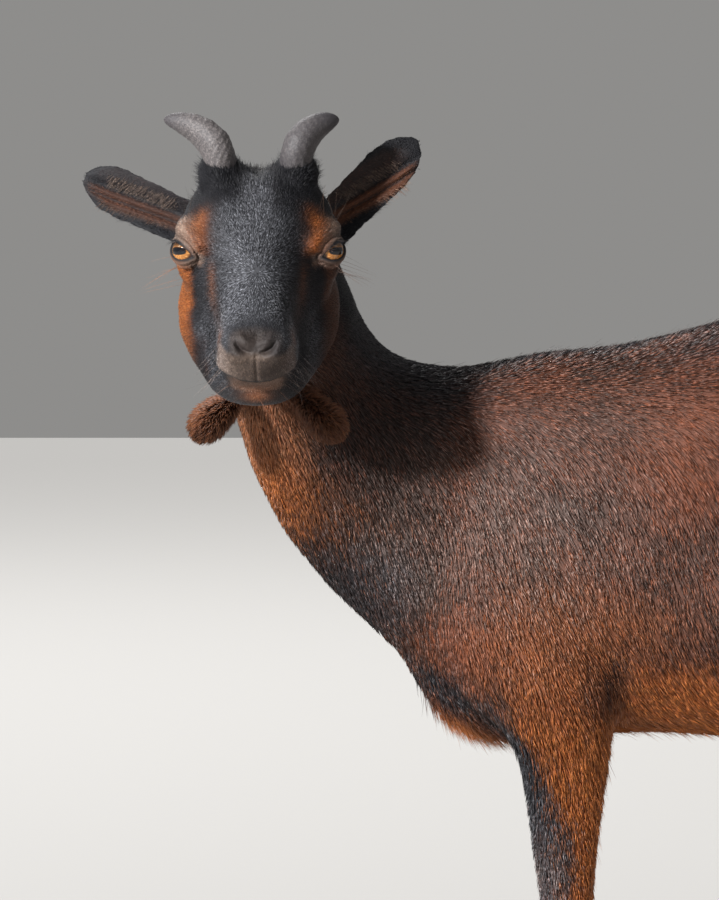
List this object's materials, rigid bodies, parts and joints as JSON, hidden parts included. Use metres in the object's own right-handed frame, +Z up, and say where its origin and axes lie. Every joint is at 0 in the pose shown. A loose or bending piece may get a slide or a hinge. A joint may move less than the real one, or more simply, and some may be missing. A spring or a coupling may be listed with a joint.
{
  "type": "dwarf goat",
  "caption": "Standing dwarf goat with short horns and wattles, its head turned to its left to look at the viewer; dark chestnut coat with black markings.",
  "frame": {"origin": "on the floor, in the middle of the underside of the goat's bounding box", "axes": "+Z up; the goat's body faces -X and its left side is -Y; its head looks along -Y"},
  "size_m": [0.7542, 0.332, 0.6303],
  "materials": {
    "coat": "short dense glossy hair, dark chestnut going to black",
    "dark_coat": "short black hair with a silvery sheen",
    "horn": "rough dark grey horn",
    "hoof": "dark hoof horn",
    "eye": "wet amber eye"
  },
  "bodies": {
    "root": {"dewclaw_foreleg_left_inner": "hoof", "dewclaw_foreleg_left_outer": "hoof", "dewclaw_foreleg_right_inner": "hoof", "dewclaw_foreleg_right_outer": "hoof", "dewclaw_hindleg_left_inner": "hoof", "dewclaw_hindleg_left_outer": "hoof", "dewclaw_hindleg_right_inner": "hoof", "dewclaw_hindleg_right_outer": "hoof", "ear_left": "dark_coat", "ear_right": "dark_coat", "eye_left": "eye", "eye_right": "eye", "foreleg_left_lower": "dark_coat", "foreleg_left_upper": "coat", "foreleg_right_lower": "dark_coat", "foreleg_right_upper": "coat", "head": "dark_coat", "hindleg_left_lower": "dark_coat", "hindleg_left_upper": "coat", "hindleg_right_lower": "dark_coat", "hindleg_right_upper": "coat", "hoof_foreleg_left_inner": "hoof", "hoof_foreleg_left_outer": "hoof", "hoof_foreleg_right_inner": "hoof", "hoof_foreleg_right_outer": "hoof", "hoof_hindleg_left_inner": "hoof", "hoof_hindleg_left_outer": "hoof", "hoof_hindleg_right_inner": "hoof", "hoof_hindleg_right_outer": "hoof", "horn_left": "horn", "horn_right": "horn", "neck": "coat", "tail": "coat", "trunk": "coat", "wattle_left": "dark_coat", "wattle_right": "dark_coat"}
  },
  "joints": []
}
